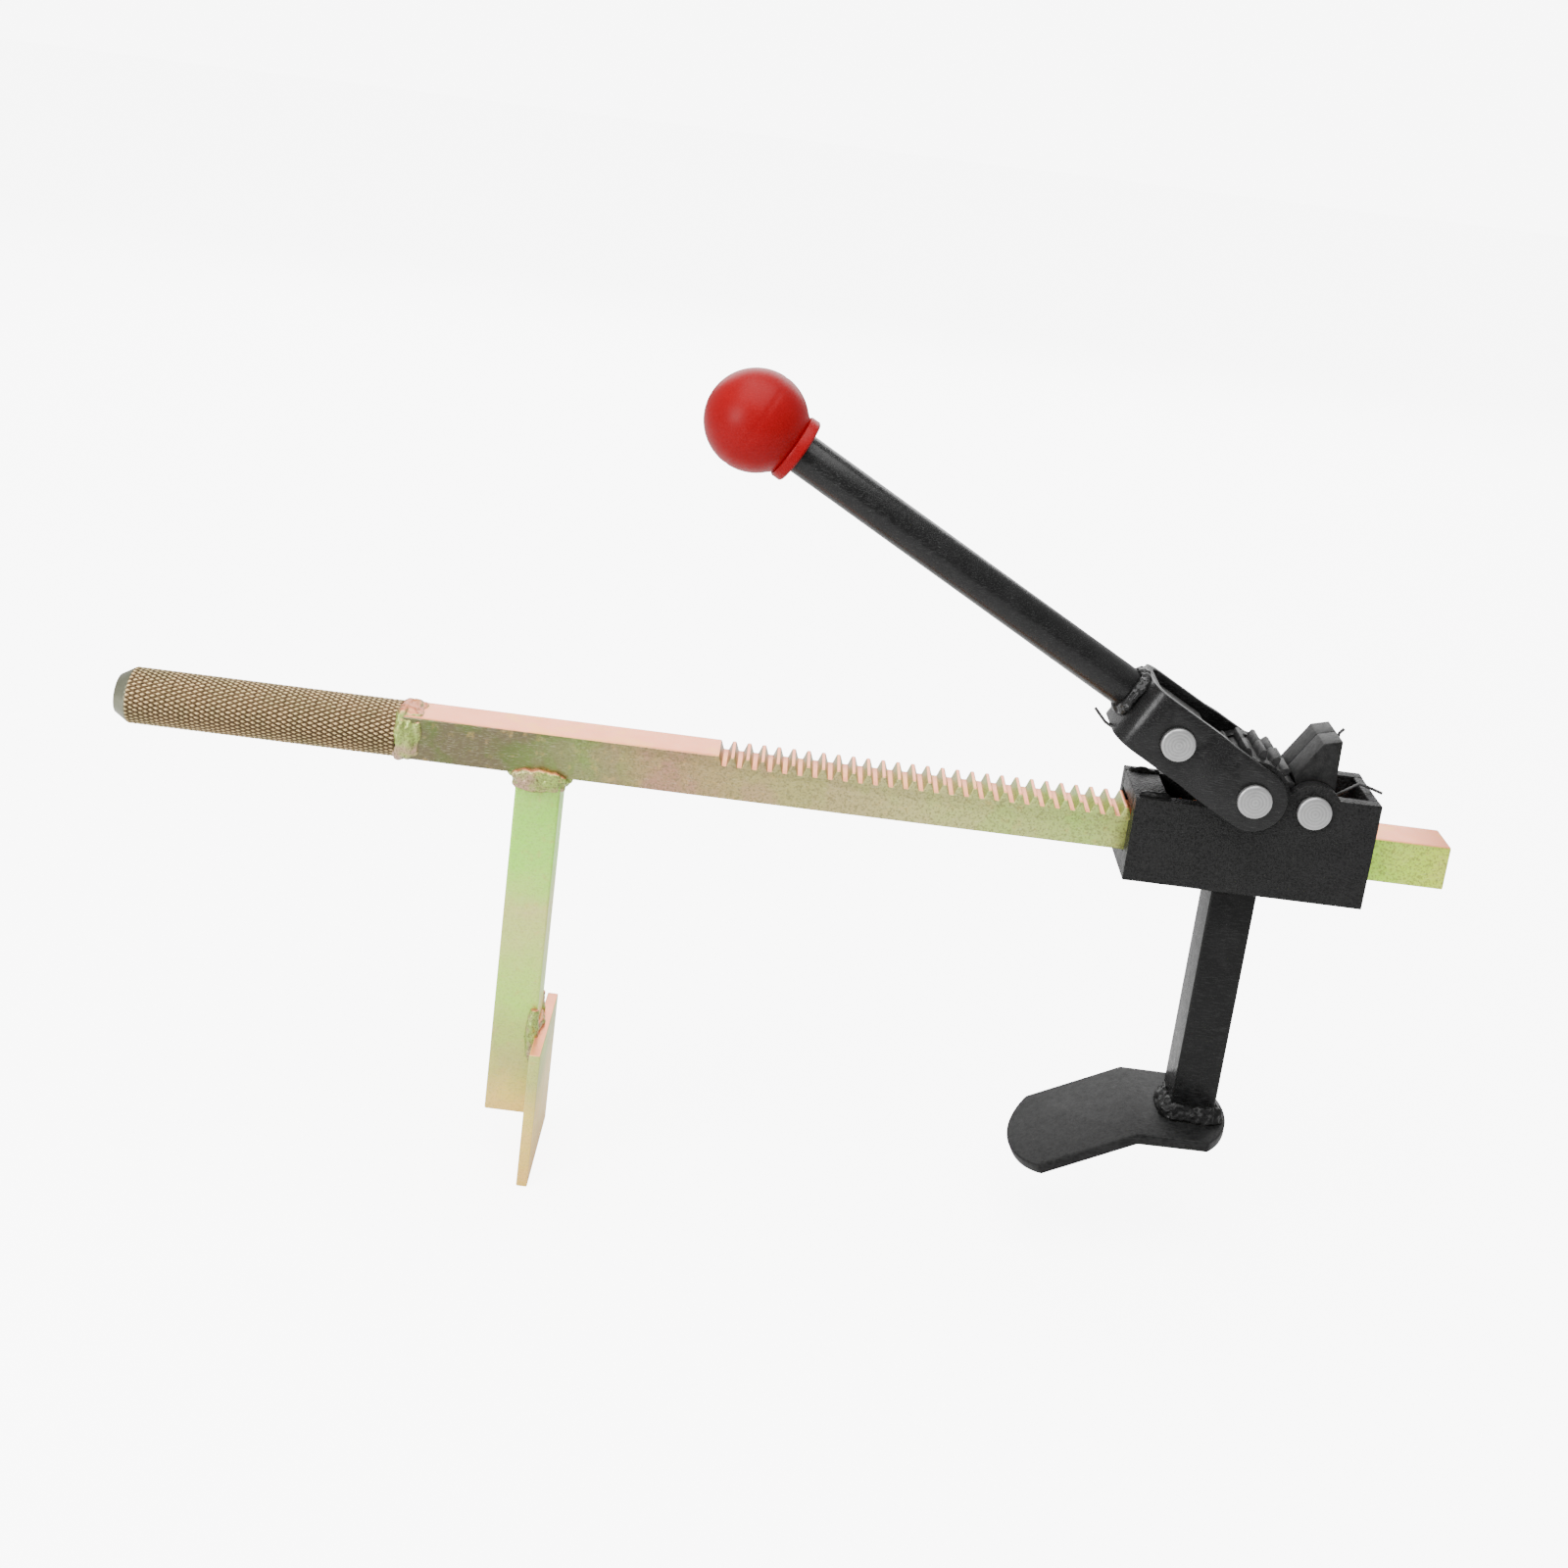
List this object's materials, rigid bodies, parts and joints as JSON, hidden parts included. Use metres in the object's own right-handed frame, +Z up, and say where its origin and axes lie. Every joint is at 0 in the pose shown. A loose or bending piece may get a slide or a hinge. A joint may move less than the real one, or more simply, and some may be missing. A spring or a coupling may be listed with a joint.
{
  "type": "ratchet puller for floor boards",
  "caption": "Hand puller for floor boards: a toothed square bar with a grip and hook, and a lever-worked ratchet head with a foot plate.",
  "frame": {"origin": "centre of the grip's outer end face, on the bar's centre line", "axes": "+X along the bar from the grip to the free end, +Y across the bar away from the pin heads, +Z up, the side the lever is on"},
  "size_m": [0.471, 0.045, 0.3057],
  "materials": {
    "zinc_plate": "satin, yellow zinc plate with pink and green bloom over steel",
    "zinc_grip": "knurled, yellow zinc plate over steel",
    "black_paint": "semi gloss with orange peel",
    "turned_steel": "turned, satin",
    "hardened_steel": "dark phosphate",
    "spring_steel": "drawn wire",
    "red_plastic": "satin gloss"
  },
  "bodies": {
    "toothed_bar": {"rack_bar": "zinc_plate", "grip": "zinc_grip", "grip_weld": "zinc_plate", "hook_post": "zinc_plate", "hook_post_weld": "zinc_plate", "hook_plate": "zinc_plate", "hook_plate_weld": "zinc_plate"},
    "head": {"housing_channel": "black_paint", "front_bridge": "black_paint", "front_bridge_weld": "black_paint", "end_plate": "black_paint", "foot_post": "black_paint", "foot_post_weld": "black_paint", "foot_plate": "black_paint", "foot_plate_weld": "black_paint", "gear_pin": "turned_steel", "gear_pin_clip": "spring_steel", "hold_pawl_pin": "turned_steel", "hold_pawl_pin_clip": "spring_steel"},
    "pinion": {"pinion_near_plate": "hardened_steel", "pinion_far_plate": "hardened_steel"},
    "lever": {"fork": "black_paint", "lever_rod": "black_paint", "rod_weld": "black_paint", "knob": "red_plastic", "drive_pawl_pin": "turned_steel", "drive_pawl_pin_clip": "spring_steel"},
    "drive_pawl": {"drive_pawl_near_plate": "hardened_steel", "drive_pawl_far_plate": "hardened_steel", "drive_pawl_spring": "spring_steel"},
    "hold_pawl": {"hold_pawl_near_plate": "hardened_steel", "hold_pawl_far_plate": "hardened_steel", "hold_pawl_spring": "spring_steel"}
  },
  "joints": [
    {"name": "head_slide", "type": "slide", "parent": "toothed_bar", "child": "head", "axis": [-1, 0, 0], "range_m": [-0.018, 0.155]},
    {"name": "pinion_spin", "type": "hinge", "parent": "head", "child": "pinion", "pos_m": [0.397, 0, 0.02055], "axis": [0, -1, 0], "range_deg": [-75, 620]},
    {"name": "lever_swing", "type": "hinge", "parent": "head", "child": "lever", "pos_m": [0.397, 0, 0.02055], "axis": [0, 1, 0], "range_deg": [-11, 70]},
    {"name": "drive_pawl_lift", "type": "hinge", "parent": "lever", "child": "drive_pawl", "pos_m": [0.36845, 0, 0.0365], "axis": [0, 1, 0], "range_deg": [0, 25], "deforming": ["drive_pawl_spring"]},
    {"name": "hold_pawl_lift", "type": "hinge", "parent": "head", "child": "hold_pawl", "pos_m": [0.419, 0, 0.0177], "axis": [0, 1, 0], "range_deg": [0, 28], "deforming": ["hold_pawl_spring"]}
  ],
  "couplings": [
    {"joint": "pinion_spin", "follows": "head_slide", "rad_per_m": 69.204}
  ]
}
